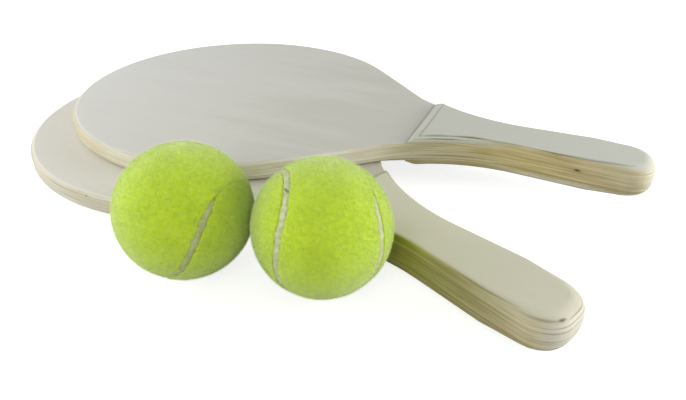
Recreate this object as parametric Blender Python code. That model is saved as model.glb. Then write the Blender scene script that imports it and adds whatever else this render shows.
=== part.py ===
# Beach paddle ball set: two plywood paddles lying crossed on each other, and two felt balls beside
# them. Metres, +Z up, table at Z = 0, origin under the middle of the set.
import bmesh
import bpy
from math import atan2, cos, hypot, pi, radians, sin, sqrt
from mathutils import Matrix, Vector

for old in list(bpy.data.objects):
    bpy.data.objects.remove(old, do_unlink=True)

# Paddle, seen from above: a round blade that runs through a straight flank and a hollow neck into
# a handle that widens a little towards a round butt.
PADDLE_LENGTH = 0.3921
BLADE_HALF_WIDTH = 0.1172
TIP_REACH = 0.1137
NECK_REACH = 0.1178
FLANK_SLOPE = 0.918
NECK_END = 0.3176
NECK_HALF_WIDTH = 0.0154
HANDLE_SLOPE = 0.049
BUTT_CORNER = 0.0150

# Paddle, through its thickness: one board of plywood with a thinner scale glued on either side.
BOARD_THICK = 0.0118
SCALE_THICK = 0.0040
GLUE_GAP = 0.0003
SCALE_START = 0.2523
SCALE_BEVEL = 0.0066
BLADE_ROUND = 0.0033
GRIP_ROUND = 0.0030
BUTT_ROUND = 0.0080

# How the two paddles lie.
LOWER_TIP = (-0.1767, 0.1643)
LOWER_YAW = radians(-45.24)
UPPER_TIP = (-0.1826, 0.1507)
UPPER_YAW = radians(-22.60)
REST_GAP = 0.0003

# Ball: a hollow rubber core with a raised seam, and two dog-bone panels of felt round it.
BALL_RADIUS = 0.0330
FELT_THICK = 0.0026
SEAM_SUNK = 0.0005
SEAM_WIDTH = 0.0032
SEAM_RATIO = 0.78
FIT_GAP = 0.0003
NECK_RATIO = 0.5258
NECK_GAP = 0.00152
FLANK_GAP = 0.00420
LEFT_BALL_TURN = (radians(-21.1), radians(2.1), radians(-71.5))
RIGHT_BALL_TURN = (radians(-0.7), radians(6.1), radians(-35.2))

SHAPES = bpy.data.collections.new("beach_paddle_ball_set")
CUTTERS = bpy.data.collections.new("cutters")
bpy.context.scene.collection.children.link(SHAPES)
bpy.context.scene.collection.children.link(CUTTERS)


def make_material(name, colour, roughness):
    material = bpy.data.materials.new(name)
    material.use_nodes = True
    shader = material.node_tree.nodes["Principled BSDF"]
    shader.inputs["Base Color"].default_value = (*colour, 1.0)
    shader.inputs["Roughness"].default_value = roughness
    return material


BOARD_WOOD = make_material("birch_plywood", (0.58, 0.52, 0.38), 0.55)
SCALE_WOOD = make_material("birch_scale", (0.56, 0.50, 0.36), 0.55)
SEAM_RUBBER = make_material("seam_rubber", (0.52, 0.54, 0.40), 0.70)
YELLOW_FELT = make_material("yellow_felt", (0.46, 0.68, 0.06), 0.95)


def neck_arc():
    """Start of the straight flank, and the arc of the neck, which touches flank and handle."""
    leave = atan2(FLANK_SLOPE * NECK_REACH, BLADE_HALF_WIDTH)
    flank = Vector((TIP_REACH + NECK_REACH * sin(leave), BLADE_HALF_WIDTH * cos(leave)))
    meet_u = flank.y + FLANK_SLOPE * flank.x - NECK_HALF_WIDTH + HANDLE_SLOPE * NECK_END
    meet_u /= FLANK_SLOPE + HANDLE_SLOPE
    meet_w = flank.y - FLANK_SLOPE * (meet_u - flank.x)
    reach = (NECK_END - meet_u) * hypot(1, HANDLE_SLOPE)
    start = Vector((meet_u, meet_w)) + Vector((-1, FLANK_SLOPE)).normalized() * reach
    end = Vector((NECK_END, NECK_HALF_WIDTH))
    corner = (pi - atan2(FLANK_SLOPE, 1) - atan2(HANDLE_SLOPE, 1)) / 2
    radius = reach * sin(corner) / cos(corner)
    centre = start + Vector((FLANK_SLOPE, 1)).normalized() * radius
    first = atan2(start.y - centre.y, start.x - centre.x)
    last = atan2(end.y - centre.y, end.x - centre.x)
    return flank, centre, radius, first, last


def half_outline():
    """Points (u, w) of one side of the paddle, from the middle of the tip to that of the butt."""
    points = []
    for step in range(19):
        turn = pi / 2 * (1 - step / 19)
        points.append((TIP_REACH * (1 - sin(turn)), BLADE_HALF_WIDTH * cos(turn)))
    leave = atan2(FLANK_SLOPE * NECK_REACH, BLADE_HALF_WIDTH)
    for step in range(11):
        turn = leave * step / 10
        points.append((TIP_REACH + NECK_REACH * sin(turn), BLADE_HALF_WIDTH * cos(turn)))
    flank, centre, radius, first, last = neck_arc()
    for step in range(15):
        turn = first + (last - first) * step / 14
        points.append((centre.x + radius * cos(turn), centre.y + radius * sin(turn)))
    # The side of the handle, then the rounded corner and the flat middle of the butt.
    corner_u = PADDLE_LENGTH - BUTT_CORNER
    side_w = NECK_HALF_WIDTH + HANDLE_SLOPE * (corner_u - NECK_END)
    for step in (1, 2):
        u = NECK_END + (corner_u - NECK_END) * step / 3
        points.append((u, NECK_HALF_WIDTH + HANDLE_SLOPE * (u - NECK_END)))
    for step in range(9):
        turn = pi / 2 * step / 8
        bend = BUTT_CORNER * (1 - cos(turn))
        points.append((corner_u + BUTT_CORNER * sin(turn), side_w - bend))
    points.append((PADDLE_LENGTH, 0.0))
    return points


HALF = half_outline()


def inward(points, index):
    """Direction from an outline point into the wood, the outline being mirrored at both ends."""
    if index in (0, len(points) - 1):
        return Vector((1 if index == 0 else -1, 0))
    along = Vector(points[index + 1]) - Vector(points[index - 1])
    return Vector((along.y, -along.x)).normalized()


def width_at(u):
    """Half width of the paddle at a place past its widest one."""
    for near, far in zip(HALF[20:], HALF[21:]):
        if near[0] <= u <= far[0]:
            return near[1] + (far[1] - near[1]) * (u - near[0]) / (far[0] - near[0])
    return 0.0


def arc_inset(height, half_height, radius):
    """How far a wall of this half height is set in at a height, its edge rounded by a radius."""
    rise = abs(height) - (half_height - radius)
    if rise <= 0:
        return 0.0
    return radius - sqrt(max(radius * radius - rise * rise, 0.0))


def grip_inset(u, height):
    """The handle's edges are rounded as one body, more so at the butt."""
    full_half = BOARD_THICK / 2 + GLUE_GAP + SCALE_THICK
    share = min(max((u - (PADDLE_LENGTH - 2 * BUTT_CORNER)) / (1.4 * BUTT_CORNER), 0.0), 1.0)
    share = share * share * (3 - 2 * share)
    return arc_inset(height, full_half, GRIP_ROUND + (BUTT_ROUND - GRIP_ROUND) * share)


def skin(name, rings):
    """A closed body from rings of equal length, capped at its first and last ring."""
    mesh = bpy.data.meshes.new(name)
    body = bmesh.new()
    loops = [[body.verts.new(point) for point in ring] for ring in rings]
    count = len(loops[0])
    for lower, upper in zip(loops, loops[1:]):
        for index in range(count):
            after = (index + 1) % count
            body.faces.new((lower[index], lower[after], upper[after], upper[index]))
    body.faces.new(reversed(loops[0]))
    body.faces.new(loops[-1])
    bmesh.ops.recalc_face_normals(body, faces=body.faces)
    for face in body.faces:
        face.smooth = len(face.verts) == 4
    body.to_mesh(mesh)
    body.free()
    return mesh


def board_mesh():
    """Blade and tang in one board: round edges on the blade, square ones under the scales."""
    flat = BOARD_THICK / 2 - BLADE_ROUND
    heights = [flat + BLADE_ROUND * sin(pi / 2 * step / 4) for step in range(5)]
    heights = [-height for height in reversed(heights)] + heights
    rings = []
    for height in heights:
        side = []
        for index, (u, w) in enumerate(HALF):
            fade = min(max((SCALE_START - u) / 0.012, 0.0), 1.0)
            inset = fade * arc_inset(height, BOARD_THICK / 2, BLADE_ROUND) + grip_inset(u, height)
            spot = Vector((u, w)) + inward(HALF, index) * inset
            side.append((spot.x, spot.y, height))
        other = [(u, -w, height) for u, w, height in reversed(side[1:-1])]
        rings.append(side + other)
    return skin("board", rings)


def scale_mesh():
    """One scale of the handle: its front slopes up from the blade, its edges are rounded over."""
    base = BOARD_THICK / 2 + GLUE_GAP
    crown = max(SCALE_THICK - GRIP_ROUND, SCALE_THICK * 0.02)
    heights = [base] + [base + crown + (SCALE_THICK - crown) * sin(pi / 2 * k / 4) for k in range(5)]
    kept = [i for i, (u, w) in enumerate(HALF) if u > SCALE_START + SCALE_BEVEL + 0.001]
    rings = []
    for height in heights:
        front = SCALE_START + SCALE_BEVEL * (height - base) / SCALE_THICK
        side = [(front, width_at(front) - grip_inset(front, height), height)]
        for index in kept:
            u, w = HALF[index]
            spot = Vector((u, w)) + inward(HALF, index) * grip_inset(u, height)
            side.append((spot.x, spot.y, height))
        other = [(u, -w, height) for u, w, height in reversed(side[:-1])]
        rings.append(side + other)
    return skin("scale", rings)


def seam_frame(step, count):
    """A point of the seam on the unit sphere, and the direction across the seam there."""
    def at(turn):
        rest = 1 - SEAM_RATIO
        return Vector((SEAM_RATIO * cos(turn) + rest * cos(3 * turn),
                       SEAM_RATIO * sin(turn) - rest * sin(3 * turn),
                       2 * sqrt(SEAM_RATIO * rest) * sin(2 * turn)))
    turn = 2 * pi * step / count
    across = (at(turn + 0.01) - at(turn - 0.01)).cross(at(turn)).normalized()
    return at(turn), across


def seam_wall(name, width, inner, outer):
    """A closed wall that stands on the seam, from one radius to another."""
    mesh = bpy.data.meshes.new(name)
    body = bmesh.new()
    count = 72
    loops = []
    for step in range(count):
        out, across = seam_frame(step, count)
        corners = []
        for radius, side in ((inner, -1), (outer, -1), (outer, 1), (inner, 1)):
            corners.append(body.verts.new(out * radius + across * (side * width / 2)))
        loops.append(corners)
    for step in range(count):
        here = loops[step]
        there = loops[(step + 1) % count]
        for index in range(4):
            after = (index + 1) % 4
            body.faces.new((here[index], here[after], there[after], there[index]))
    bmesh.ops.recalc_face_normals(body, faces=body.faces)
    body.to_mesh(mesh)
    body.free()
    return mesh


def ball_skin(name, radius, divisions):
    mesh = bpy.data.meshes.new(name)
    body = bmesh.new()
    bmesh.ops.create_icosphere(body, subdivisions=divisions, radius=radius)
    body.to_mesh(mesh)
    body.free()
    return mesh


def cutter(name, mesh):
    ob = bpy.data.objects.new(name, mesh)
    CUTTERS.objects.link(ob)
    ob.hide_render = True
    ob.display_type = "WIRE"
    return ob


def carve(name, mesh, steps):
    """The mesh after a row of exact booleans, read back as plain faces."""
    ob = bpy.data.objects.new(name, mesh)
    CUTTERS.objects.link(ob)
    for operation, tool in steps:
        boolean = ob.modifiers.new(tool.name, "BOOLEAN")
        boolean.operation = operation
        boolean.solver = "EXACT"
        boolean.object = tool
    bpy.context.view_layer.update()
    evaluated = ob.evaluated_get(bpy.context.evaluated_depsgraph_get())
    result = bpy.data.meshes.new_from_object(evaluated)
    bpy.data.objects.remove(ob)
    return result


def core_mesh():
    """Rubber core with the seam standing up between the two panels of felt."""
    shell = BALL_RADIUS - FELT_THICK - FIT_GAP
    rib_width = SEAM_WIDTH - 2 * FIT_GAP
    wall = cutter("seam_rib", seam_wall("seam_rib", rib_width, shell * 0.9, BALL_RADIUS - SEAM_SUNK))
    core = carve("core", ball_skin("core", shell, 3), [("UNION", wall)])
    for face in core.polygons:
        face.use_smooth = False
    return core


def felt_meshes():
    """The two dog-bone panels: a shell of felt parted along the seam."""
    inner = cutter("felt_inside", ball_skin("felt_inside", BALL_RADIUS - FELT_THICK, 3))
    groove = cutter("seam_groove", seam_wall("seam_groove", SEAM_WIDTH, BALL_RADIUS * 0.8, BALL_RADIUS * 1.2))
    shell = carve("felt", ball_skin("felt", BALL_RADIUS, 3), [("DIFFERENCE", inner), ("DIFFERENCE", groove)])
    panels = []
    for sign in (1, -1):
        body = bmesh.new()
        body.from_mesh(shell)
        bmesh.ops.remove_doubles(body, verts=body.verts, dist=0.00002)
        islands = []
        left = set(body.verts)
        while left:
            todo = [left.pop()]
            island = set(todo)
            while todo:
                for edge in todo.pop().link_edges:
                    for vert in edge.verts:
                        if vert in left:
                            left.discard(vert)
                            island.add(vert)
                            todo.append(vert)
            islands.append(island)
        for island in islands:
            middle = sum((vert.co for vert in island), Vector()) / len(island)
            if middle.x * sign < 0:
                bmesh.ops.delete(body, geom=list(island), context="VERTS")
        for face in body.faces:
            face.smooth = True
        panel = bpy.data.meshes.new("felt_panel")
        body.to_mesh(panel)
        body.free()
        panels.append(panel)
    return panels


def place(name, mesh, material, matrix):
    ob = bpy.data.objects.new(name, mesh)
    SHAPES.objects.link(ob)
    if not mesh.materials:
        mesh.materials.append(material)
    ob.matrix_world = matrix
    return ob


# The lower paddle stands on the tip of its blade and on the front of its under scale, so that its
# handle end is a little higher than its tip.
stack_half = BOARD_THICK / 2 + GLUE_GAP + SCALE_THICK
rise = (GLUE_GAP + SCALE_THICK) / (SCALE_START + SCALE_BEVEL - BLADE_ROUND)
lower_turn = Matrix.Rotation(LOWER_YAW, 4, "Z") @ Matrix.Rotation(-rise, 4, "Y")
lower_lift = BOARD_THICK / 2 * cos(rise)
lower_at = Matrix.Translation((*LOWER_TIP, lower_lift)) @ lower_turn

# The upper paddle lies flat on the blade of the lower one.
normal = lower_turn.to_3x3() @ Vector((0, 0, 1))
along = Vector((cos(UPPER_YAW), sin(UPPER_YAW), 0))
along = (along - normal * along.dot(normal)).normalized()
aside = normal.cross(along)
step_x = UPPER_TIP[0] - LOWER_TIP[0]
step_y = UPPER_TIP[1] - LOWER_TIP[1]
upper_lift = lower_lift + (BOARD_THICK + REST_GAP - normal.x * step_x - normal.y * step_y) / normal.z
upper_turn = Matrix((along, aside, normal)).transposed().to_4x4()
upper_at = Matrix.Translation((*UPPER_TIP, upper_lift)) @ upper_turn

board = board_mesh()
scale = scale_mesh()
flip = Matrix.Rotation(pi, 4, "X")
for label, at in (("lower", lower_at), ("upper", upper_at)):
    place(label + "_blade", board, BOARD_WOOD, at)
    place(label + "_handle_scale_top", scale, SCALE_WOOD, at)
    place(label + "_handle_scale_bottom", scale, SCALE_WOOD, at @ flip)

# The right ball lies in the neck of the lower paddle, and the left one touches it and lies beside
# the straight flank of the blade. Each comes as near as its own roundness lets it.
def ball_reach(height):
    return sqrt(max(BALL_RADIUS ** 2 - (BALL_RADIUS - height) ** 2, 0.0))


flank, centre, radius, first, last = neck_arc()
turn = first + (last - first) * NECK_RATIO
inner = radius - NECK_GAP - ball_reach(BOARD_THICK + GLUE_GAP + SCALE_THICK)
right_spot = centre + Vector((cos(turn), sin(turn))) * inner
line = flank + Vector((FLANK_SLOPE, 1)).normalized() * (FLANK_GAP + ball_reach(BOARD_THICK))
course = Vector((1, -FLANK_SLOPE)).normalized()
ahead = (right_spot - line).dot(course)
aside_from = (right_spot - line - course * ahead).length
apart = sqrt(max((2 * BALL_RADIUS + FIT_GAP) ** 2 - aside_from ** 2, 0.0))
left_spot = line + course * (ahead - apart)
to_table = Matrix.Rotation(LOWER_YAW, 2) @ Matrix(((1, 0), (0, -1)))
left_ball = to_table @ left_spot + Vector(LOWER_TIP)
right_ball = to_table @ right_spot + Vector(LOWER_TIP)

core = core_mesh()
panel_a, panel_b = felt_meshes()
for label, spot, turn in (("left", left_ball, LEFT_BALL_TURN), ("right", right_ball, RIGHT_BALL_TURN)):
    spin = Matrix.Rotation(turn[2], 4, "Z") @ Matrix.Rotation(turn[1], 4, "Y")
    spin = spin @ Matrix.Rotation(turn[0], 4, "X")
    at = Matrix.Translation((*spot, BALL_RADIUS)) @ spin
    place(label + "_ball_core", core, SEAM_RUBBER, at)
    place(label + "_ball_felt_a", panel_a, YELLOW_FELT, at)
    place(label + "_ball_felt_b", panel_b, YELLOW_FELT, at)

# The origin goes under the middle of the whole set, at the height of the table.
bpy.context.view_layer.update()
corners = [ob.matrix_world @ vert.co for ob in SHAPES.objects for vert in ob.data.vertices]
low = Vector([min(corner[axis] for corner in corners) for axis in range(3)])
high = Vector([max(corner[axis] for corner in corners) for axis in range(3)])
shift = Matrix.Translation((-(low.x + high.x) / 2, -(low.y + high.y) / 2, -low.z))
for ob in SHAPES.objects:
    ob.matrix_world = shift @ ob.matrix_world
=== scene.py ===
from math import asin, cos, pi, radians, sin, sqrt

import bmesh
import bpy
import numpy as np
from mathutils import Euler, Matrix, Vector, noise
from mathutils.kdtree import KDTree


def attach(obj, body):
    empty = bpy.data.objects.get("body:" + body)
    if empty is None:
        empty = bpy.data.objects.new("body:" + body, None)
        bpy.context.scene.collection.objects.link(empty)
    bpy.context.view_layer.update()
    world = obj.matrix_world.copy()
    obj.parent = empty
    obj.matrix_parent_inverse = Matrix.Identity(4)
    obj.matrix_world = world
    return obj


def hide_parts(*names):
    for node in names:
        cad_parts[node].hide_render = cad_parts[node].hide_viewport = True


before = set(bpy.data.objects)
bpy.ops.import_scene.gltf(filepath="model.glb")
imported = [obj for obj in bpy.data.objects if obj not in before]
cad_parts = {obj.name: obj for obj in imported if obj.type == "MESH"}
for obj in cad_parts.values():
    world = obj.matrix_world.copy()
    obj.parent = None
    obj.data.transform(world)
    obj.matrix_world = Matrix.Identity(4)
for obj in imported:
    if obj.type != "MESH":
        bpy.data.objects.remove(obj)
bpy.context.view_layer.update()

# The two paddle boards. Each is one board of birch plywood, about 12 mm thick, sawn to its
# outline, its edges rounded over with a router and fine sanded, with a clear matt lacquer that
# hardly shows. So the faces are pale and chalky and the sawn edges show the tan of the plies.
BOARD_HALF = 0.0059
GLUE_GAP = 0.0003
SCALE_THICK = 0.0040
SCALE_FOOT = 0.2523
SCALE_BEVEL = 0.0066
BLADE_ROUND = 0.0033
SANDED_EDGE = 0.00015
LOWER_YAW = radians(-45.24)
UPPER_YAW = radians(-22.60)
LOWER_TIP = Vector((-0.1615425, 0.1128492, 0.0058437))
UPPER_TIP = Vector((-0.1674425, 0.0992492, 0.0180379))

# The lower paddle stands on its tip and on the front of its under scale; the upper lies on it.
rise = (GLUE_GAP + SCALE_THICK) / (SCALE_FOOT + SCALE_BEVEL - BLADE_ROUND)
lower_turn = Euler((0, -rise, LOWER_YAW)).to_matrix()
plane = lower_turn @ Vector((0, 0, 1))
along = Vector((cos(UPPER_YAW), sin(UPPER_YAW), 0))
along = (along - plane * along.dot(plane)).normalized()
upper_turn = Matrix((along, plane.cross(along), plane)).transposed()
PADDLES = {"lower": (LOWER_TIP, lower_turn.to_euler()), "upper": (UPPER_TIP, upper_turn.to_euler())}
MILLIMETRE = 0.001


def paint(code):
    """An sRGB hex colour as the linear one that a shader takes."""
    parts = [int(code[i:i + 2], 16) / 255 for i in (1, 3, 5)]
    return (*(c / 12.92 if c <= 0.04045 else ((c + 0.055) / 1.055) ** 2.4 for c in parts), 1.0)


def add(tree, kind, links=None, stops=None, **settings):
    """A shader node with its settings; links gives an input a value or another node's output."""
    new = tree.nodes.new("ShaderNode" + kind)
    for key, value in settings.items():
        setattr(new, key, value)
    for key, value in (links or {}).items():
        if isinstance(value, bpy.types.NodeSocket):
            tree.links.new(value, new.inputs[key])
        else:
            new.inputs[key].default_value = value
    if stops:
        ramp = new.color_ramp.elements
        while len(ramp) < len(stops):
            ramp.new(0.5)
        for element, (spot, colour) in zip(ramp, stops):
            element.position, element.color = spot, paint(colour)
    return new


def birch_plywood(name, paddle, wood):
    """Fine sanded birch plywood. Its face veneer is pale and nearly even, with long faint pores. The edges
    show tan plies, paler where a rounding is cut, and a dark line of glue here and there. Where an edge
    faces the tip or the butt, and along given stretches, the plies are painted paler: a painted highlight.
    In other stretches they are darkened by painted shade, and near the right ball on the lower paddle they
    are tinted by the ball's painted green bounce light and shade. All of it is laid out in millimetres on
    the paddle itself: along it from the tip, across it, and up through its thickness."""
    material = bpy.data.materials.new(name)
    material.use_nodes = True
    tree = material.node_tree
    shader = tree.nodes["Principled BSDF"]
    spot, turn = PADDLES[paddle]
    here = add(tree, "TexCoord").outputs
    place = add(tree, "Mapping", {0: here["Object"], 1: spot, 2: turn, 3: (MILLIMETRE,) * 3},
                vector_type="TEXTURE").outputs[0]
    axes = add(tree, "SeparateXYZ", {0: place}).outputs
    facing = add(tree, "Mapping", {0: here["Normal"], 2: turn}, vector_type="TEXTURE").outputs[0]
    facing = add(tree, "VectorMath", {0: facing}, operation="ABSOLUTE").outputs[0]
    facing = add(tree, "SeparateXYZ", {0: facing}).outputs

    # Where the edge plies show, and where they are rounded over and look pale. Where an edge faces the tip
    # or the butt, and along given stretches, it is painted pale: a painted highlight.
    edge_share = add(tree, "MapRange", {0: facing[2], 1: wood["rim"][0], 2: wood["rim"][1]}).outputs[0]
    for axis, start, stop in wood["bare"]:
        part = add(tree, "MapRange", {0: axes[axis], 1: start, 2: stop}).outputs[0]
        edge_share = add(tree, "Math", {0: edge_share, 1: part}, operation="MULTIPLY").outputs[0]
    painted_highlight_share = add(tree, "MapRange", {0: facing[0], 1: 0.30, 2: 0.92}).outputs[0]
    for start, stop in wood["pale_from"]:
        part = add(tree, "MapRange", {0: axes[0], 1: start, 2: stop}).outputs[0]
        painted_highlight_share = add(tree, "Math", {0: painted_highlight_share, 1: part}, operation="MAXIMUM").outputs[0]

    # Face: fine pores 0.6 mm apart and up to 20 mm long, on soft bands about 20 mm wide.
    fine = add(tree, "Mapping", {0: place, 3: (0.05, 1.6, 0.3)}).outputs[0]
    pores = add(tree, "TexNoise", {0: fine, "Scale": 1.0, "Detail": 4.0, "Roughness": 0.6}).outputs[0]
    wide = add(tree, "Mapping", {0: place, 3: (0.009, 0.050, 0.05)}).outputs[0]
    bands = add(tree, "TexNoise", {0: wide, "Scale": 1.0, "Detail": 2.0, "Distortion": 0.3}).outputs[0]
    bands = add(tree, "MapRange", {0: bands, 3: 0.25, 4: 0.75}).outputs[0]
    tone = add(tree, "Math", {0: axes[0], 1: 0.0022, 2: bands}, operation="MULTIPLY_ADD").outputs[0]
    face = add(tree, "ValToRGB", {0: tone}, stops=wood["face"]).outputs[0]
    faint = add(tree, "MapRange", {0: pores, 1: 0.35, 2: 0.62, 3: 0.975, 4: 1.005}).outputs[0]
    face = add(tree, "Mix", {0: 1.0, 6: face, 7: faint}, data_type="RGBA", blend_type="MULTIPLY").outputs[2]

    # Edge: streaks that run along the plies, 0.5 mm high and 30 mm long, in slow warm patches.
    long = add(tree, "Mapping", {0: place, 3: (0.030, 0.030, 1.5)}).outputs[0]
    streak = add(tree, "TexNoise", {0: long, "Scale": 1.0, "Detail": 4.0, "Roughness": 0.55}).outputs[0]
    slow = add(tree, "Mapping", {0: place, 3: (0.022, 0.022, 0.20)}).outputs[0]
    slow = add(tree, "TexNoise", {0: slow, "Scale": 1.0, "Detail": 2.0}).outputs[0]
    tone = add(tree, "Math", {0: slow, 1: 0.8, 2: streak}, operation="MULTIPLY_ADD").outputs[0]
    tan = add(tree, "ValToRGB", {0: tone}, stops=tuple(zip((0.70, 0.90, 1.00), wood["tan"]))).outputs[0]
    end = add(tree, "ValToRGB", {0: tone}, stops=tuple(zip((0.70, 0.90, 1.00), wood["end"]))).outputs[0]
    edge = add(tree, "Mix", {0: painted_highlight_share, 6: tan, 7: end}, data_type="RGBA").outputs[2]
    # Painted shade, multiplied onto the edge colour in given stretches; near the right ball on the lower
    # paddle its colour is the green of the ball's painted bounce light and shade.
    for start, full, last, stop, stain_and_shade in wood["painted_bounce_and_shade"]:
        part = add(tree, "MapRange", {0: axes[0], 1: start, 2: full}).outputs[0]
        fade = add(tree, "MapRange", {0: axes[0], 1: stop, 2: last}).outputs[0]
        part = add(tree, "Math", {0: part, 1: fade}, operation="MULTIPLY").outputs[0]
        edge = add(tree, "Mix", {0: part, 6: edge, 7: paint(stain_and_shade)}, data_type="RGBA",
                   blend_type="MULTIPLY").outputs[2]
    colour = add(tree, "Mix", {0: edge_share, 6: face, 7: edge}, data_type="RGBA").outputs[2]

    # Stripes: each has a height, half a width, a strength and a colour, and comes and goes.
    wander = add(tree, "TexNoise", {0: place, "Scale": 0.02, "Detail": 2.0}).outputs[0]
    height = add(tree, "MapRange", {0: wander, 1: 0.3, 2: 0.7, 3: -0.35, 4: 0.35}).outputs[0]
    height = add(tree, "Math", {0: height, 1: axes[2]}, operation="ADD").outputs[0]
    gaps = add(tree, "Mapping", {0: place, 3: (0.024, 0.024, 0.45)}).outputs[0]
    gaps = add(tree, "TexNoise", {0: gaps, "Scale": 1.0, "Detail": 3.0}).outputs[0]
    gaps = add(tree, "MapRange", {0: gaps, 1: 0.38, 2: 0.60, 3: 0.3, 4: 1.0}).outputs[0]
    shown = add(tree, "Math", {0: gaps, 1: edge_share}, operation="MULTIPLY").outputs[0]
    for middle, half_width, strength, stain_and_shade in wood["stripes"]:
        off = add(tree, "Math", {0: height, 1: middle}, operation="SUBTRACT").outputs[0]
        off = add(tree, "Math", {0: off}, operation="ABSOLUTE").outputs[0]
        line = add(tree, "MapRange", {0: off, 1: half_width, 2: half_width * 0.3, 4: strength}).outputs[0]
        line = add(tree, "Math", {0: line, 1: shown}, operation="MULTIPLY").outputs[0]
        colour = add(tree, "Mix", {0: line, 6: colour, 7: paint(stain_and_shade)}, data_type="RGBA").outputs[2]

    # Knots, chips, dark stretches of glue and painted shade where a scale's front meets the board, each at
    # its own place on this paddle.
    for middle, radii, strength, stain_and_shade in wood["marks"]:
        off = add(tree, "VectorMath", {0: place, 1: middle}, operation="SUBTRACT").outputs[0]
        off = add(tree, "VectorMath", {0: off, 1: radii}, operation="DIVIDE").outputs[0]
        off = add(tree, "VectorMath", {0: off}, operation="LENGTH").outputs[1]
        share = add(tree, "MapRange", {0: off, 1: 0.30, 2: 1.0, 3: strength, 4: 0.0}).outputs[0]
        colour = add(tree, "Mix", {0: share, 6: colour, 7: paint(stain_and_shade)}, data_type="RGBA").outputs[2]
    tree.links.new(colour, shader.inputs["Base Color"])

    rough = add(tree, "MapRange", {0: pores, 1: 0.3, 2: 0.7, 3: 0.68, 4: 0.54}).outputs[0]
    tree.links.new(rough, shader.inputs["Roughness"])
    relief = add(tree, "Mix", {0: edge_share, 2: pores, 3: streak}).outputs[0]
    bump = add(tree, "Bump", {"Height": relief, "Strength": 0.25, "Distance": 0.0001}).outputs[0]
    tree.links.new(bump, shader.inputs["Normal"])
    shader.inputs["IOR"].default_value = 1.45
    shader.inputs["Specular IOR Level"].default_value = 0.3
    return material


def shown_piece(name, body, material, slot, *nodes):
    """Makes a finished piece of a bmesh, in place of the CAD nodes that it stands for."""
    for face in body.faces:
        face.smooth = True
    mesh = bpy.data.meshes.new(name)
    body.to_mesh(mesh)
    body.free()
    mesh.materials.append(material)
    piece = bpy.data.objects.new(name, mesh)
    bpy.context.scene.collection.objects.link(piece)
    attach(piece, "root")
    if nodes:
        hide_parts(*nodes)
    return piece


WELD = 0.00001
FLAT_ANGLE = radians(0.2)
SHARP_ANGLE = radians(24)
CREASE_ANGLE = radians(36)


def welded(node):
    """The solid of a CAD node as one closed body, its flat faces whole again."""
    body = bmesh.new()
    body.from_mesh(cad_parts[node].data)
    bmesh.ops.remove_doubles(body, verts=body.verts, dist=WELD)
    bmesh.ops.dissolve_limit(body, angle_limit=FLAT_ANGLE, verts=body.verts, edges=body.edges)
    return body


def timber(node, name, slot, material, paddle):
    """A wooden piece on its CAD solid. Sandpaper has broken its sharp edges, but for the edges
    of a glued joint, where board and scale were sanded as one."""
    body = welded(node)
    spot, turn = PADDLES[paddle]
    flat = (Matrix.Translation(spot) @ turn.to_matrix().to_4x4()).inverted()
    glued = set()
    for vert in body.verts:
        place = flat @ vert.co
        if place.x > SCALE_FOOT - MILLIMETRE and abs(abs(place.z) - BOARD_HALF) < 2 * GLUE_GAP:
            glued.add(vert)
    edges = [edge for edge in body.edges if edge.is_manifold
             and edge.calc_face_angle() > SHARP_ANGLE and not glued.issuperset(edge.verts)]
    bmesh.ops.bevel(body, geom=edges, offset=SANDED_EDGE, segments=2, profile=0.5, affect="EDGES",
                    material=-1, clamp_overlap=True)
    for edge in body.edges:
        edge.smooth = edge.is_manifold and edge.calc_face_angle() < CREASE_ANGLE
    bmesh.ops.recalc_face_normals(body, faces=body.faces)
    piece = shown_piece(name, body, material, slot, node)
    shading = piece.modifiers.new("flat_faces", "WEIGHTED_NORMAL")
    shading.mode, shading.weight, shading.keep_sharp = "FACE_AREA", 60, True


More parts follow.
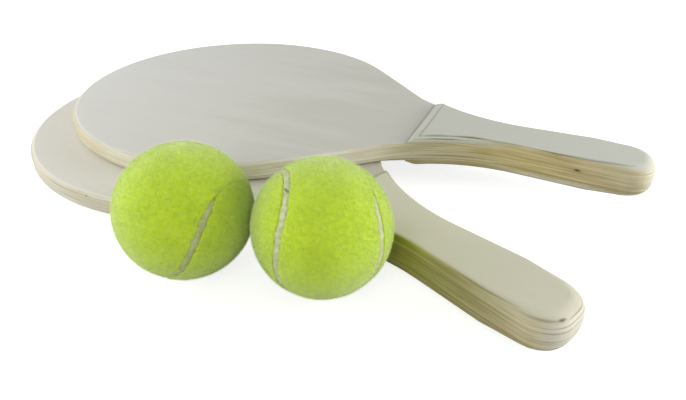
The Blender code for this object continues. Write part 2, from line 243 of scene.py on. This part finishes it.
# How each board looks, in millimetres along it from the tip, across it and up. face: its colours from tip
# to butt. tan: dark, middle and pale plies, cut along. end: the same plies painted pale, a painted
# highlight where an edge faces the tip or the butt. rim: how level a face is where only veneer shows, and
# where only plies do. bare: an axis and a stretch of it before which no plies show. pale_from: stretches
# along which the edge takes the painted highlight too. stained: where a painted shade starts, is full, is
# last full and stops, and its colour; near the right ball on the lower paddle it is the green of the ball's
# painted bounce light and shade. stripes, marks: as the shader above takes them.
# Painted highlight: the pale colours that edges take where they face the tip or the butt.
PALE_END = ("#C4BDA4", "#D1CCB8", "#DBD8CA")
BOARDS = {
    "lower": {
        "face": ((0.45, "#D6D4CB"), (0.85, "#D2D0C4"), (1.20, "#CDCBBA")),
        "tan": ("#A2966A", "#B7AB84", "#C7BE9D"), "end": PALE_END,
        "rim": (0.93, 0.72), "bare": (), "pale_from": ((285, 215),),
        # Painted green bounce light and shade of the right ball on the edges near it, and painted shade on
        # the edges at the tip.
        "painted_bounce_and_shade": ((374, 314, 250, 225, "#CCD67C"), (310, 275, 250, 232, "#E4EA84"),
                    (180, 80, -2, -3, "#D6D4CA")),
        "stripes": ((3.8, 0.60, 0.42, "#857C5E"), (-0.5, 0.60, 0.42, "#80795C"),
                    (-4.6, 0.50, 0.40, "#80795C"), (1.6, 0.25, 0.25, "#8C8464")),
        "marks": (((157.7, -108.4, 3.9), (1.2, 2.0, 0.9), 0.55, "#7A6A50"),)},
    "upper": {
        "face": ((0.45, "#D2D3CD"), (0.85, "#CECDC4"), (1.20, "#C6C5BA")),
        "tan": ("#A89860", "#BDAE7C", "#CBBF93"), "end": PALE_END,
        "rim": (0.95, 0.76), "bare": (), "pale_from": ((300, 225), (330, 470)),
        # Painted shade on the edges at the tip and near the butt.
        "painted_bounce_and_shade": ((150, 60, -2, -3, "#E0DBC8"), (320, 370, 392, 393, "#F0EFEA")),
        "stripes": ((4.2, 0.30, 0.30, "#8E8258"), (0.45, 0.40, 0.35, "#8E8258"),
                    (-2.6, 0.50, 0.40, "#8A7440"), (-4.9, 0.45, 0.45, "#7E7455")),
        "marks": (((350.9, -17.0, 2.1), (4.6, 3.0, 1.6), 0.35, "#7F6A3C"),
                  ((350.9, -17.0, 2.1), (2.3, 3.0, 0.9), 0.95, "#40331C"),
                  ((353.0, -17.0, 1.0), (1.6, 2.0, 0.35), 0.40, "#6E5C34"),
                  ((283.0, -22.0, -3.0), (44.0, 14.0, 0.75), 0.55, "#94743A"),
                  # Painted shade: a grey line on the board at the foot of the scale's sloped front.
                  ((251.7, 0.0, 5.9), (0.9, 60.0, 0.8), 0.50, "#97978A"))},
}
for paddle, board in BOARDS.items():
    sanded = birch_plywood(f"sanded_birch_plywood_{paddle}", paddle, board)
    timber(f"{paddle}_blade", f"{paddle}_board", "birch_plywood", sanded, paddle)

# The handle scales, one glued on each side of a board. They are birch plywood of 4 mm with a
# sloped front, clamped to the board and sanded flush with it once the glue had set. On the
# upper paddle the sander went through the outer veneer, and its glue shows as a dark line.
LOWER_SCALE = {
    "face": ((1.10, "#D1CFB8"), (1.35, "#D6D4BE"), (1.55, "#D9D7C4")),
    "tan": ("#A2966E", "#B4A984", "#C3BA9B"), "end": PALE_END,
    "rim": (0.93, 0.74), "bare": (), "pale_from": (),
    # Painted green bounce light and shade of the right ball on the edges near it.
    "painted_bounce_and_shade": ((374, 314, 250, 225, "#CCD67C"), (310, 275, 250, 232, "#E4EA84"))}
UPPER_SCALE = {
    "face": ((1.10, "#C4C5B9"), (1.35, "#C6C6B8"), (1.55, "#CECDBD")),
    "tan": ("#A39362", "#B7AA7E", "#C4B890"), "end": PALE_END,
    "rim": (0.86, 0.60), "bare": (), "pale_from": (),
    # Painted shade on the edges near the butt.
    "painted_bounce_and_shade": ((320, 370, 392, 393, "#F0EFEA"),)}
SCALES = {
    ("lower", "top"): LOWER_SCALE | {
        "stripes": ((7.9, 0.40, 0.25, "#7C745C"),),
        "marks": (((382.0, -13.0, 8.4), (14.0, 7.0, 0.55), 0.45, "#6A6450"),
                  ((388.3, -7.9, 8.4), (2.4, 2.8, 0.65), 0.80, "#55503F"),
                  ((389.5, 3.0, 7.7), (5.0, 9.0, 0.35), 0.60, "#6A6450"))},
    ("lower", "bottom"): LOWER_SCALE | {
        "stripes": ((-8.3, 0.40, 0.35, "#7C745C"),), "marks": ()},
    ("upper", "top"): UPPER_SCALE | {
        "bare": ((0, 285, 318),),
        "stripes": ((9.4, 0.50, 0.45, "#7D785C"),),
        # Painted shade: a grey line at the foot of the scale's sloped front, where it meets the board.
        "marks": (((252.4, 0.0, 6.3), (1.1, 60.0, 1.1), 0.75, "#8E8F82"),
                  ((259.0, 0.0, 10.1), (1.3, 60.0, 1.2), 0.55, "#8E8F82"),
                  ((270.0, -23.5, 9.70), (24.0, 9.0, 0.50), 0.75, "#77765F"),
                  ((289.0, -17.5, 9.70), (16.0, 7.0, 0.50), 0.85, "#5C5A42"),
                  ((310.0, -14.7, 9.35), (24.0, 5.0, 0.45), 0.55, "#7D785A"),
                  ((338.0, -15.4, 9.25), (16.0, 5.0, 0.45), 0.80, "#66624A"),
                  ((362.0, -15.0, 9.60), (24.0, 6.0, 0.45), 0.60, "#78745C"),
                  ((272.0, -23.0, 8.15), (24.0, 12.0, 0.45), 0.95, "#6E6A54"),
                  ((338.4, -16.2, 8.3), (1.2, 2.0, 0.6), 0.45, "#7A6A40"))},
    ("upper", "bottom"): UPPER_SCALE | {
        "pale_from": ((290, 345),), "stripes": ((-8.6, 0.45, 0.30, "#8A7F5C"),), "marks": ()},
}
for (paddle, side), scale in SCALES.items():
    sanded = birch_plywood(f"sanded_birch_scale_{paddle}_{side}", paddle, scale)
    timber(f"{paddle}_handle_scale_{side}", f"{paddle}_scale_{side}", "birch_scale", sanded, paddle)

# The glue between a board and its scales. It is a film of wood glue that squeezed out when the
# handle was clamped, dried hard and translucent, and was sanded back flush with the wood.
glue = bpy.data.materials.new("dried_wood_glue")
glue.use_nodes = True
tree = glue.node_tree
shader = tree.nodes["Principled BSDF"]
place = add(tree, "TexCoord").outputs["Object"]
runs = add(tree, "TexNoise", {0: place, "Scale": 60.0, "Detail": 3.0}).outputs[0]
amber = add(tree, "ValToRGB", {0: runs}, stops=((0.38, "#B0A47A"), (0.52, "#C3B78E"), (0.66, "#D0C6A2")))
tree.links.new(amber.outputs[0], shader.inputs["Base Color"])
shader.inputs["Roughness"].default_value = 0.5
shader.inputs["IOR"].default_value = 1.48
# The film ends a little inside the wood, so its rim shows as a fine line round the handle.
HANDLE_MIDDLE = 0.322
FILM_SHARE = (0.9998, 0.9985, 1)
CUT_SLACK = 0.000001
for paddle, (spot, turn) in PADDLES.items():
    flat = Matrix.Translation(spot) @ turn.to_matrix().to_4x4()
    for side, way in (("top", 1), ("bottom", -1)):
        body = welded(f"{paddle}_handle_scale_{side}")
        bmesh.ops.transform(body, matrix=flat.inverted(), verts=body.verts)
        skin = (BOARD_HALF + 2 * GLUE_GAP) * way
        whole = body.verts[:] + body.edges[:] + body.faces[:]
        cut = bmesh.ops.bisect_plane(body, geom=whole, dist=CUT_SLACK, plane_co=(0, 0, skin),
                                     plane_no=(0, 0, way), clear_outer=True)
        rim = [part for part in cut["geom_cut"] if isinstance(part, bmesh.types.BMEdge)]
        bmesh.ops.holes_fill(body, edges=rim, sides=0)
        bmesh.ops.translate(body, vec=(-HANDLE_MIDDLE, 0, -GLUE_GAP * way), verts=body.verts)
        bmesh.ops.scale(body, vec=FILM_SHARE, verts=body.verts)
        bmesh.ops.translate(body, vec=(HANDLE_MIDDLE, 0, 0), verts=body.verts)
        bmesh.ops.transform(body, matrix=flat, verts=body.verts)
        bmesh.ops.recalc_face_normals(body, faces=body.faces)
        shown_piece(f"{paddle}_glue_{side}", body, glue, "birch_scale")

# Ball cores. Each ball is a hollow moulded core of rubber. Its seam is the rubber cement that
# swells up between the two panels of felt when the ball is pressed and cured in its mould, so
# it is uneven: here wide and smooth, there pinched shut by the felt.
LEFT_TURN = Euler((radians(-21.1), radians(2.1), radians(-71.5)))
RIGHT_TURN = Euler((radians(-0.7), radians(6.1), radians(-35.2)))
BALLS = {"left": (Vector((-0.0594425, -0.1160508, 0.0329445)), LEFT_TURN),
         "right": (Vector((0.0060946, -0.1260794, 0.0329445)), RIGHT_TURN)}
BALL_RADIUS = 0.0330
SEAM_TOP = 0.0321
CORE_RADIUS = 0.0301
SEAM_SPREAD = 0.78
SEAM_STEPS = 960
# Half the width of bare rubber, in millimetres, at turns along the seam; below zero it is shut.
SEAM_WIDTHS = {
    "left": ((0.00, 1.45), (0.25, 1.60), (0.42, 1.30), (0.56, -0.05), (1.30, -0.05), (1.60, 0.90),
             (3.50, 0.90), (3.80, -0.80), (4.90, -0.80), (5.20, 0.90), (5.80, 1.50)),
    "right": ((0.00, 2.10), (0.45, 1.85), (0.70, -0.60), (1.10, -0.60), (1.50, 0.90), (3.30, 1.40),
              (3.60, 1.85), (4.20, 1.75), (4.70, 1.50), (5.20, 1.35), (5.80, 1.60))}
# How far the seam strays from its curve, how ragged the felt's edge is along it, and half the
# turn over which its direction is taken.
SEAM_WANDER = 0.0005
SEAM_RAGGED = 0.0006
HALF_STEP = 0.005


def seam_at(turn):
    """A point of the seam, a closed S-curve on the unit sphere."""
    rest = 1 - SEAM_SPREAD
    return Vector((SEAM_SPREAD * cos(turn) + rest * cos(3 * turn),
                   SEAM_SPREAD * sin(turn) - rest * sin(3 * turn),
                   2 * sqrt(SEAM_SPREAD * rest) * sin(2 * turn)))


seam_tree = KDTree(SEAM_STEPS)
seam_turns = np.arange(SEAM_STEPS) * 2 * pi / SEAM_STEPS
seam_halves = {label: np.interp(seam_turns, *zip(*widths), period=2 * pi) * MILLIMETRE
               for label, widths in SEAM_WIDTHS.items()}
seam_across = []
for step, turn in enumerate(seam_turns):
    seam_tree.insert(seam_at(turn), step)
    course = seam_at(turn + HALF_STEP) - seam_at(turn - HALF_STEP)
    seam_across.append(course.cross(seam_at(turn)).normalized())
seam_tree.balance()


def from_seam(out, label):
    """Signed distance in metres from the seam's line, and half the seam's width at that place."""
    near, step, far = seam_tree.find(out)
    arc = 2 * asin(min(far / 2, 1.0)) * BALL_RADIUS
    ragged = noise.noise(out * 24) + 0.6 * noise.noise(out * 60)
    half = seam_halves[label][step] + SEAM_RAGGED * ragged
    side = arc if seam_across[step].dot(out) > 0 else -arc
    return side + SEAM_WANDER * noise.noise(out * 7), half


NICK_REACH = (0.0028, 0.0028, 0.0005)


def seam_rubber(name, darker_tint, paler_tint, nick):
    """Cured rubber cement, off-white, tinted yellow-green partly by the dye of the felt and partly as
    painted green bounce light from the felt, dull and a little lumpy, with a dark nick at one place."""
    material = bpy.data.materials.new(name)
    material.use_nodes = True
    tree = material.node_tree
    shader = tree.nodes["Principled BSDF"]
    place = add(tree, "TexCoord").outputs["Object"]
    dirt = add(tree, "TexNoise", {0: place, "Scale": 420.0, "Detail": 5.0, "Roughness": 0.65}).outputs[0]
    tint = add(tree, "ValToRGB", {0: dirt}, stops=((0.38, darker_tint), (0.62, paler_tint))).outputs[0]
    off = add(tree, "VectorMath", {0: place, 1: nick}, operation="SUBTRACT").outputs[0]
    off = add(tree, "VectorMath", {0: off, 1: NICK_REACH}, operation="DIVIDE").outputs[0]
    off = add(tree, "VectorMath", {0: off}, operation="LENGTH").outputs[1]
    dark = add(tree, "MapRange", {0: off, 1: 0.4, 2: 1.0, 3: 0.9, 4: 0.0}).outputs[0]
    tint = add(tree, "Mix", {0: dark, 6: tint, 7: paint("#5E6440")}, data_type="RGBA").outputs[2]
    tree.links.new(tint, shader.inputs["Base Color"])
    lumps = add(tree, "TexNoise", {0: place, "Scale": 900.0, "Detail": 3.0}).outputs[0]
    bump = add(tree, "Bump", {"Height": lumps, "Strength": 0.3, "Distance": 0.0001}).outputs[0]
    tree.links.new(bump, shader.inputs["Normal"])
    shader.inputs["Roughness"].default_value = 0.62
    shader.inputs["IOR"].default_value = 1.52
    return material


def on_ball(body, label):
    """Turns and moves a ball's mesh from its own centre to its place."""
    spot, turn = BALLS[label]
    move = Matrix.Translation(spot) @ turn.to_matrix().to_4x4()
    bmesh.ops.transform(body, matrix=move, verts=body.verts)


RUBBERS = {}
# The yellow-green tint of both rubbers is partly the felt's dye and partly painted bounce light from the
# felt; the left ball's rubber is darker than the right's.
for label, darker_tint, paler_tint, turn in (("left", "#A0A866", "#C0C68A", 0.50),
                                  ("right", "#ABB17E", "#C9CDA6", 4.08)):
    nick = BALLS[label][0] + BALLS[label][1].to_matrix() @ seam_at(turn) * SEAM_TOP
    RUBBERS[label] = seam_rubber(f"cured_rubber_{label}", darker_tint, paler_tint, nick)
# How far to each side the rubber swells up, how soon it falls off there and where the seam is
# shut, and how much lower its flanks are than its crown.
SEAM_SWELL = 0.0026
SWELL_FOOT = 0.0006
SHUT_FOOT = 0.0004
CROWN_FALL = 0.06
for label, rubber in RUBBERS.items():
    body = bmesh.new()
    bmesh.ops.create_icosphere(body, subdivisions=6, radius=1.0)
    for vert in body.verts:
        out = vert.co.normalized()
        far, half = from_seam(out, label)
        share = min(max((SEAM_SWELL - abs(far)) / SWELL_FOOT, 0.0), 1.0)
        share *= min(max(half / SHUT_FOOT, 0.0), 1.0)
        crown = 1 - (far / SEAM_SWELL) ** 2 * CROWN_FALL
        vert.co = out * (CORE_RADIUS + (SEAM_TOP - CORE_RADIUS) * share * crown)
    on_ball(body, label)
    shown_piece(f"{label}_core", body, rubber, "seam_rubber", f"{label}_ball_core")

# Felt panels, two dog-bone shapes round each core, cut from needled felt of wool and nylon dyed optic
# yellow. The felt is steamed after gluing, which raises a nap of short curled fibres all over: deep yellow
# at the root, where light is caught, and painted almost white towards the loose tips, a painted sheen that
# brightens the felt where one looks across the nap.
FELT_RADIUS = 0.0323
# How a panel's edge rounds over, and how it tucks in beside the seam.
FELT_SHOULDER = 0.0007
FELT_SKIRT = 0.0012
SKIRT_SLOPE = 2.5
SKIRT_DEPTH = 0.0008
# The fibres of each kind on a panel: how many, their lengths, how steeply they rise, half their widths,
# drawn coarser than real ones so that they show, and how pale they are painted, root to tip, for a painted
# sheen.
NAP = {"curled": (30000, (0.0010, 0.0018), (0.20, 0.65), (0.00006, 0.00010), (0.1, 0.3, 0.5)),
       "standing": (42000, (0.0008, 0.0015), (1.20, 3.00), (0.00002, 0.00004), (0.5, 1.0))}
# How far inside the border the outermost fibres stand, how far over the seam's line they may
# stand, how deep they are rooted, and how much clear of the table their tips stay.
ROOT_INSIDE = 0.0001
ROOT_PAST_SEAM = -0.0002
ROOT_DEPTH = 0.00015
TABLE_GAP = 0.0001


def yellow_felt(name):
    """Needled wool felt: matt, mottled where the fibres clump, and softly bright at a grazing angle, where
    one looks through the tips of the nap, which are painted almost white: a painted sheen."""
    material = bpy.data.materials.new(name)
    material.use_nodes = True
    tree = material.node_tree
    shader = tree.nodes["Principled BSDF"]
    place = add(tree, "TexCoord").outputs["Object"]
    tip = add(tree, "Attribute", attribute_name="nap").outputs["Fac"]
    clumps = add(tree, "TexNoise", {0: place, "Scale": 520.0, "Detail": 5.0, "Roughness": 0.7}).outputs[0]
    broad = add(tree, "TexNoise", {0: place, "Scale": 90.0, "Detail": 2.0}).outputs[0]
    tone = add(tree, "Math", {0: broad, 1: 0.3, 2: clumps}, operation="MULTIPLY_ADD").outputs[0]
    dyed = add(tree, "ValToRGB", {0: tone}, stops=((0.46, "#B9D50A"), (0.66, "#C8E318"), (0.90, "#D5ED2C")))
    # Painted sheen: the nap's tips are mixed towards near white, so the felt looks paler where one sees
    # across them.
    painted_sheen_share = add(tree, "MapRange", {0: tip, 1: 0.40, 2: 1.0, 4: 0.85}).outputs[0]
    tint = add(tree, "Mix", {0: painted_sheen_share, 6: dyed.outputs[0], 7: paint("#F8FBE2")}, data_type="RGBA").outputs[2]
    tree.links.new(tint, shader.inputs["Base Color"])
    bump = add(tree, "Bump", {"Height": clumps, "Strength": 0.6, "Distance": 0.0004}).outputs[0]
    tree.links.new(bump, shader.inputs["Normal"])
    shader.inputs["Roughness"].default_value = 0.95
    shader.inputs["Specular IOR Level"].default_value = 0.05
    shader.inputs["Sheen Weight"].default_value = 1.0
    shader.inputs["Sheen Roughness"].default_value = 0.52
    shader.inputs["Sheen Tint"].default_value = paint("#FCFDF2")
    return material


def felt_height(inside):
    """Radius of the felt's surface at a distance inside its own border: it rolls down at the edge."""
    if inside >= FELT_SHOULDER:
        return FELT_RADIUS
    if inside <= 0:
        tuck = FELT_RADIUS - FELT_SHOULDER + inside * SKIRT_SLOPE
        return max(tuck, CORE_RADIUS - SKIRT_DEPTH)
    lean = 1 - inside / FELT_SHOULDER
    return FELT_RADIUS - FELT_SHOULDER * (1 - sqrt(1 - lean * lean))


def raised_nap(label, sign, rng, count, lengths, lifts, widths, shades):
    """A mesh of tapered fibres that leave the felt at a slant. One with three shades, from the
    root to the tip, bends half way and curls aside; one with two stands straight."""
    roots, heights = [], []
    while len(roots) < count:
        out = Vector(rng.normal(size=3)).normalized()
        far, half = from_seam(out, label)
        inside = far * sign - half
        if inside > ROOT_INSIDE and far * sign > ROOT_PAST_SEAM:
            roots.append(out)
            heights.append(felt_height(inside) - ROOT_DEPTH)
    out = np.array(roots)
    lean = rng.normal(size=(count, 3))
    lean -= (lean * out).sum(1)[:, None] * out
    lean /= np.linalg.norm(lean, axis=1)[:, None]
    aside = np.cross(out, lean)
    spans = (lengths, lifts, widths, (-0.5, 0.5))
    length, lift, width, curl = (rng.uniform(*span, (count, 1)) for span in spans)
    slant = lean + out * lift
    slant /= np.linalg.norm(slant, axis=1)[:, None]
    root = out * np.array(heights)[:, None]
    middle = root + slant * length * 0.5
    if len(shades) == 3:
        end = middle + (slant * 0.8 + aside * curl) * length * 0.5
        corners = [root - aside * width, root + aside * width, middle + aside * width * 0.8,
                   middle - aside * width * 0.8, end]
        faces, values = ([0, 1, 2, 3], [3, 2, 4]), [shades[i] for i in (0, 0, 1, 1, 2)]
    else:
        corners = [root - aside * width, root + aside * width, root + slant * length]
        faces, values = ([0, 1, 2],), [shades[i] for i in (0, 0, 1)]
    spot, turn = BALLS[label]
    points = np.stack(corners, axis=1).reshape(-1, 3)
    points = points @ np.array(turn.to_matrix()).T + np.array(spot)
    points[:, 2] = np.maximum(points[:, 2], TABLE_GAP)
    first = np.arange(count)[:, None] * len(corners)
    mesh = bpy.data.meshes.new("nap")
    polygons = [loop for face in faces for loop in (first + face).tolist()]
    mesh.from_pydata(points.tolist(), [], polygons)
    paleness = mesh.attributes.new("nap", "FLOAT", "POINT")
    paleness.data.foreach_set("value", np.tile(values, count))
    return mesh


felt = yellow_felt("needled_yellow_felt")
NAP_SEED = 41
rng = np.random.default_rng(NAP_SEED)
a_side = 1 if from_seam(Vector((1, 0, 0)), "left")[0] > 0 else -1
for label in BALLS:
    for panel, sign in (("a", a_side), ("b", -a_side)):
        body = bmesh.new()
        bmesh.ops.create_icosphere(body, subdivisions=7, radius=1.0)
        beyond = []
        for vert in body.verts:
            out = vert.co.normalized()
            far, half = from_seam(out, label)
            inside = far * sign - half
            if inside < -FELT_SKIRT:
                beyond.append(vert)
            vert.co = out * felt_height(inside)
        bmesh.ops.delete(body, geom=beyond, context="VERTS")
        on_ball(body, label)
        body.verts.layers.float.new("nap")
        for kind in NAP.values():
            strands = raised_nap(label, sign, rng, *kind)
            body.from_mesh(strands)
            bpy.data.meshes.remove(strands)
        shown_piece(f"{label}_felt_{panel}", body, felt, "yellow_felt", f"{label}_ball_felt_{panel}")

# The table and the light. A seamless sheet of white paper runs under the set, inside a light
# tent, with one soft lamp above, one in front and a lower one on each side. The camera stands
# a little above the set and close to it, so that near things look large.
PAPER_HALF = 4.0
sheet_body = bmesh.new()
bmesh.ops.create_grid(sheet_body, x_segments=2, y_segments=2, size=PAPER_HALF)
bmesh.ops.translate(sheet_body, vec=(0, 0, -TABLE_GAP), verts=sheet_body.verts)
paper_mesh = bpy.data.meshes.new("paper")
sheet_body.to_mesh(paper_mesh)
sheet_body.free()
paper = bpy.data.objects.new("paper", paper_mesh)
bpy.context.scene.collection.objects.link(paper)


def seen_bright(tree):
    """1 for a ray that shows the backdrop to the camera, also by a reflection or through glass."""
    path = add(tree, "LightPath").outputs
    seen = add(tree, "Math", {0: path["Is Camera Ray"], 1: path["Is Glossy Ray"]}, operation="MAXIMUM")
    seen = add(tree, "Math", {0: seen.outputs[0], 1: path["Is Transmission Ray"]}, operation="MAXIMUM")
    return seen.outputs[0]


white = bpy.data.materials.new("white_paper")
white.use_nodes = True
tree = white.node_tree
shader = tree.nodes["Principled BSDF"]
shader.inputs["Base Color"].default_value = paint("#BCBCBA")
shader.inputs["Roughness"].default_value = 0.9
shader.inputs["Specular IOR Level"].default_value = 0.1
PAPER_GLOW = 0.78
glow = add(tree, "MapRange", {0: seen_bright(tree), 3: 0.0, 4: PAPER_GLOW}).outputs[0]
glow = add(tree, "Emission", {"Strength": glow}).outputs[0]
both = add(tree, "AddShader", {0: shader.outputs[0], 1: glow}).outputs[0]
tree.links.new(both, tree.nodes["Material Output"].inputs["Surface"])
paper_mesh.materials.append(white)

TENT_LIGHT = 0.45
world = bpy.data.worlds.new("light_tent")
bpy.context.scene.world = world
world.use_nodes = True
tree = world.node_tree
level = add(tree, "MapRange", {0: seen_bright(tree), 3: TENT_LIGHT, 4: 1.0}).outputs[0]
tree.links.new(level, tree.nodes["Background"].inputs["Strength"])
tree.nodes["Background"].inputs["Color"].default_value = (1, 1, 1, 1)

LIT_SPOT = Vector((0, 0, 0.02))
LAMPS = {"lamp_above": ((-0.60, 0.10, 0.70), 0.5, 0.8),
         "lamp_front": ((-0.38, -0.82, 0.32), 0.4, 2.2),
         "lamp_left": ((-0.62, -0.02, 0.20), 0.35, 2.3),
         "lamp_right": ((0.72, -0.10, 0.20), 0.35, 4.3)}
for name, (spot, size, watts) in LAMPS.items():
    data = bpy.data.lights.new(name, "AREA")
    data.shape, data.size, data.energy = "SQUARE", size, watts
    lamp = bpy.data.objects.new(name, data)
    bpy.context.scene.collection.objects.link(lamp)
    lamp.location = spot
    lamp.rotation_euler = (LIT_SPOT - Vector(spot)).to_track_quat("-Z", "Y").to_euler()

AIM = Vector((0.0151575, -0.0514508, 0.0))
CAMERA_REACH = 0.33565
CAMERA_LIFT = radians(32.873)
CAMERA_ROLL = radians(1.936)
SENSOR, LENS = 36.0, 29.198
eye = AIM + Vector((0, -cos(CAMERA_LIFT), sin(CAMERA_LIFT))) * CAMERA_REACH
ahead = (AIM - eye).normalized()
right = Vector((1, 0, 0))
up = right.cross(ahead)
across = right * cos(CAMERA_ROLL) + up * sin(CAMERA_ROLL)
upward = up * cos(CAMERA_ROLL) - right * sin(CAMERA_ROLL)
camera_data = bpy.data.cameras.new("camera")
camera_data.sensor_width, camera_data.lens, camera_data.clip_start = SENSOR, LENS, 0.01
camera = bpy.data.objects.new("camera", camera_data)
bpy.context.scene.collection.objects.link(camera)
camera.matrix_world = Matrix.Translation(eye) @ Matrix((across, upward, -ahead)).transposed().to_4x4()
bpy.context.scene.camera = camera
bpy.context.scene.view_settings.view_transform = "Standard"
